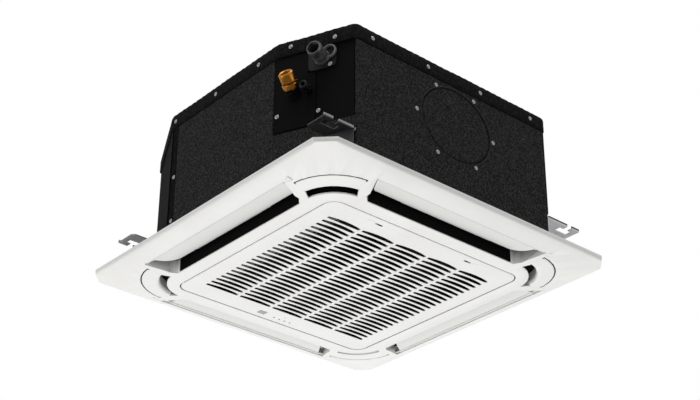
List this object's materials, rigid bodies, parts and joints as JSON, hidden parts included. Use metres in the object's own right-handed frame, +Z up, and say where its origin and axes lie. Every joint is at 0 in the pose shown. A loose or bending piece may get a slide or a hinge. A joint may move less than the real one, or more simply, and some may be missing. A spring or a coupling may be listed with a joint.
{
  "type": "ceiling cassette air conditioner",
  "caption": "Four-way ceiling cassette air conditioner: foam-clad body with pipe stubs and hanger brackets above a white panel with swinging vanes and hinged grille.",
  "frame": {"origin": "centre of the unit on the ceiling plane, which is the level of the panel's upper rim", "axes": "+Z up into the ceiling void and -Z down into the room; the piping corner is at -X -Y; the grille's latches are at its -Y edge and its hinge at its +Y edge"},
  "size_m": [0.647, 0.647, 0.2898],
  "materials": {
    "white_plastic": "fine matt moulding",
    "black_plastic": "matt",
    "grey_plastic": "smoky, slightly translucent",
    "window": "clear to milky",
    "foam": "soft closed-cell foam, speckled",
    "moulded_foam": "moulded bead foam",
    "black_sheet": "coated steel sheet",
    "zinc": "zinc-coated steel sheet",
    "steel": "turned",
    "fins": "thin fins",
    "copper": "drawn copper tube",
    "brass": "machined",
    "board": "coated circuit board",
    "hose": "smooth hose"
  },
  "bodies": {
    "unit": {"casing_wall": "black_sheet", "top_cover": "black_sheet", "pipe_cover_plate": "black_sheet", "side_foam_front": "foam", "side_foam_right": "foam", "side_foam_back": "foam", "side_foam_left": "foam", "rim_foam": "foam", "top_foam": "foam", "duct_knockout": "foam", "duct_seal": "foam", "inner_liner": "moulded_foam", "drain_pan": "moulded_foam", "evaporator_coil": "fins", "coil_end_plate_front": "zinc", "coil_end_plate_left": "zinc", "fan_motor": "zinc", "motor_bracket": "zinc", "intake_ring": "black_plastic", "control_box": "zinc", "control_box_lid": "zinc", "circuit_board": "board", "terminal_block": "black_plastic", "gas_pipe": "copper", "liquid_pipe": "copper", "gas_flare_union": "brass", "liquid_flare_union": "brass", "drain_socket": "grey_plastic", "drain_pump": "black_plastic", "float_switch_stem": "black_plastic", "drain_hose": "hose", "hanger_front_left": "zinc", "hanger_front_right": "zinc", "hanger_back_right": "zinc", "hanger_back_left": "zinc", "panel_frame": "white_plastic", "corner_cover_front_left": "white_plastic", "corner_cover_front_right": "white_plastic", "corner_cover_back_right": "white_plastic", "corner_cover_back_left": "white_plastic", "vane_motor_front": "white_plastic", "vane_motor_right": "white_plastic", "vane_motor_back": "white_plastic", "vane_motor_left": "white_plastic"},
    "fan": {"fan_wheel": "black_plastic", "fan_shaft": "steel", "fan_nut": "zinc"},
    "grille": {"intake_grille": "white_plastic", "air_filter": "black_plastic", "receiver_window": "window", "lamp_light_guide": "window"},
    "latch_left": {"latch_left": "white_plastic"},
    "latch_right": {"latch_right": "white_plastic"},
    "button": {"display_button": "white_plastic"},
    "vane_front": {"vane_front": "white_plastic"},
    "vane_right": {"vane_right": "white_plastic"},
    "vane_back": {"vane_back": "white_plastic"},
    "vane_left": {"vane_left": "white_plastic"},
    "impeller": {"pump_impeller": "white_plastic"},
    "float": {"float_ring": "white_plastic"}
  },
  "joints": [
    {"name": "fan_spin", "type": "hinge", "parent": "unit", "child": "fan", "pos_m": [0, 0, 0.14], "axis": [0, 0, 1], "continuous": true},
    {"name": "grille_hinge", "type": "hinge", "parent": "unit", "child": "grille", "pos_m": [0, 0.1895, -0.0266], "axis": [1, 0, 0], "range_deg": [0, 85]},
    {"name": "latch_left_slide", "type": "slide", "parent": "grille", "child": "latch_left", "axis": [-1, 0, 0], "range_m": [0, 0.006]},
    {"name": "latch_right_slide", "type": "slide", "parent": "grille", "child": "latch_right", "axis": [1, 0, 0], "range_m": [0, 0.006]},
    {"name": "button_press", "type": "slide", "parent": "grille", "child": "button", "axis": [0, 0, 1], "range_m": [0, 0.0008], "stiffness_N_per_m": 600, "springref_m": -0.0006},
    {"name": "vane_front_turn", "type": "hinge", "parent": "unit", "child": "vane_front", "pos_m": [0, -0.2886, -0.0155], "axis": [1, 0, 0], "range_deg": [-24, 22]},
    {"name": "vane_right_turn", "type": "hinge", "parent": "unit", "child": "vane_right", "pos_m": [0.2886, 0, -0.0155], "axis": [0, 1, 0], "range_deg": [-24, 22]},
    {"name": "vane_back_turn", "type": "hinge", "parent": "unit", "child": "vane_back", "pos_m": [0, 0.2886, -0.0155], "axis": [-1, 0, 0], "range_deg": [-24, 22]},
    {"name": "vane_left_turn", "type": "hinge", "parent": "unit", "child": "vane_left", "pos_m": [-0.2886, 0, -0.0155], "axis": [0, -1, 0], "range_deg": [-24, 22]},
    {"name": "impeller_spin", "type": "hinge", "parent": "unit", "child": "impeller", "pos_m": [-0.19, -0.222, 0.06], "axis": [0, 0, 1], "continuous": true},
    {"name": "float_rise", "type": "slide", "parent": "unit", "child": "float", "axis": [0, 0, 1], "range_m": [0, 0.011]}
  ]
}
